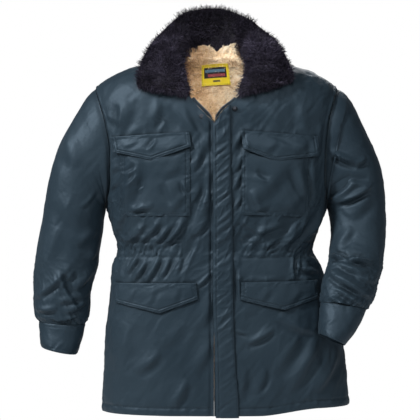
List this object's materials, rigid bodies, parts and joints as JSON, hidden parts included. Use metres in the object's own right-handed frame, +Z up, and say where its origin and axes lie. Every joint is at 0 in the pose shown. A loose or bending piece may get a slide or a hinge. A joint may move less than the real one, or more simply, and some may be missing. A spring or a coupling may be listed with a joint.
{
  "type": "work coat with a fur collar",
  "caption": "Padded hip-length work coat, filled out and hollow, with a turned-down fur collar, placket, flap pockets, gathered waist and banded cuffs.",
  "frame": {"origin": "middle of the neck opening, level with the two points where the shoulder seams meet the neck", "axes": "+Z up from hem to collar, the front faces -Y, the wearer's left side is at +X"},
  "size_m": [0.788, 0.3167, 0.9212],
  "materials": {
    "shell": "satin nylon twill, slate blue",
    "fur": "imitation fur pile, dark navy",
    "pile": "curly pile lining, cream",
    "label": "woven label, yellow with a plain dark patch",
    "tape": "woven zip tape, blue-grey",
    "steel": "bright nickel",
    "dark_steel": "dark lacquered"
  },
  "bodies": {
    "root": {"front_right": "shell", "front_left": "shell", "back": "shell", "sleeve_right": "shell", "sleeve_left": "shell", "cuff_right": "shell", "cuff_left": "shell", "placket": "shell", "chest_pocket_right": "shell", "chest_pocket_left": "shell", "chest_flap_right": "shell", "chest_flap_left": "shell", "lower_flap_right": "shell", "lower_flap_left": "shell", "collar_fur": "fur", "lining_back": "pile", "neck_label": "label", "zip_tape_right": "tape", "zip_tape_left": "tape", "press_stud_right": "steel", "press_stud_left": "dark_steel"}
  },
  "joints": []
}
